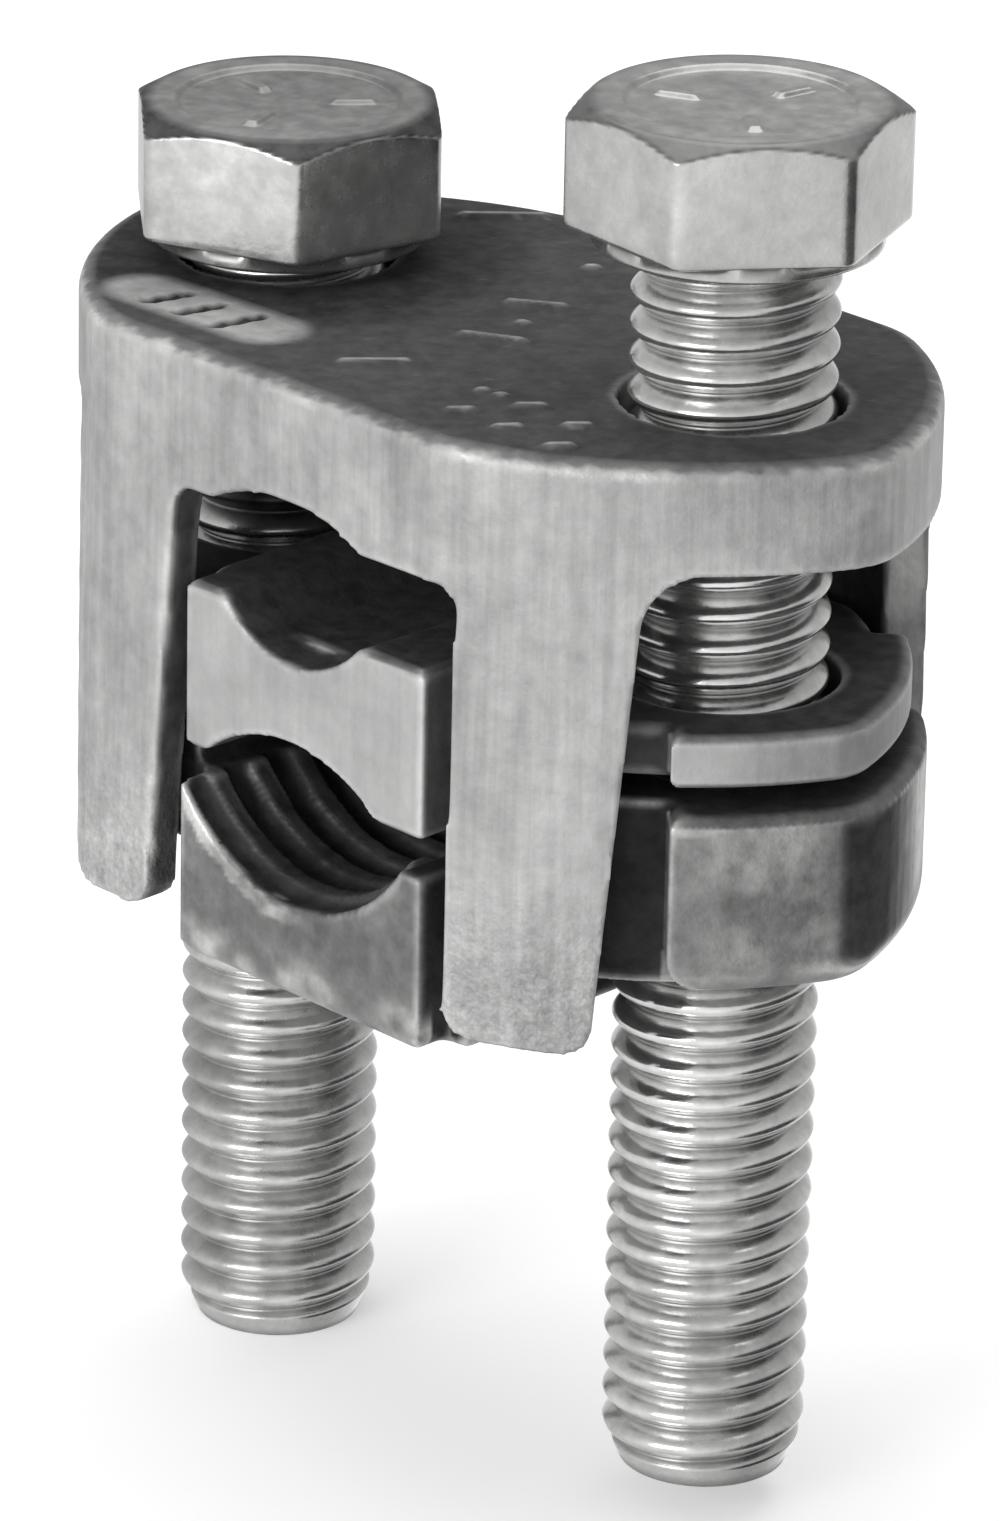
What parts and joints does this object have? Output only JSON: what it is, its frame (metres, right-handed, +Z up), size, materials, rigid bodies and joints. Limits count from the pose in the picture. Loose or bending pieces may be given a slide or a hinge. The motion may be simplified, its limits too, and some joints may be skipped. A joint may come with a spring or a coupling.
{
  "type": "parallel groove clamp",
  "caption": "Cast clamp that holds two conductors one above the other between a legged body, a grooved spacer and a tapped keeper drawn up by hexagon screws.",
  "frame": {"origin": "on the axis of the upper conductor groove, midway between the screws", "axes": "+Z up along the screws towards their heads, +X from the seated screw to the raised one, Y along the conductors"},
  "size_m": [0.0482, 0.0284, 0.0682],
  "materials": {
    "casting_body": "matte",
    "casting_spacer": "matte",
    "casting_keeper": "matte",
    "screw_steel": "satin"
  },
  "bodies": {
    "body": {"body_casting": "casting_body"},
    "left_screw": {"left_screw": "screw_steel"},
    "right_screw": {"right_screw": "screw_steel"},
    "keeper": {"keeper": "casting_keeper"},
    "spacer": {"spacer": "casting_spacer"}
  },
  "joints": [
    {"name": "keeper_travel", "type": "slide", "parent": "body", "child": "keeper", "axis": [0, 0, 1], "range_m": [-0.01, 0.0048]},
    {"name": "spacer_travel", "type": "slide", "parent": "body", "child": "spacer", "axis": [0, 0, 1], "range_m": [-0.00834, 0.00401]},
    {"name": "left_screw_turn", "type": "hinge", "parent": "body", "child": "left_screw", "pos_m": [-0.0142, 0, 0], "axis": [0, 0, -1], "range_deg": [-2268, 1089]},
    {"name": "right_screw_travel", "type": "slide", "parent": "body", "child": "right_screw", "axis": [0, 0, 1], "range_m": [-0.0071, 0.012]}
  ],
  "couplings": [
    {"joint": "left_screw_turn", "follows": "keeper_travel", "rad_per_m": 3957.9},
    {"joint": "spacer_travel", "follows": "keeper_travel", "ratio": 0.8333}
  ]
}
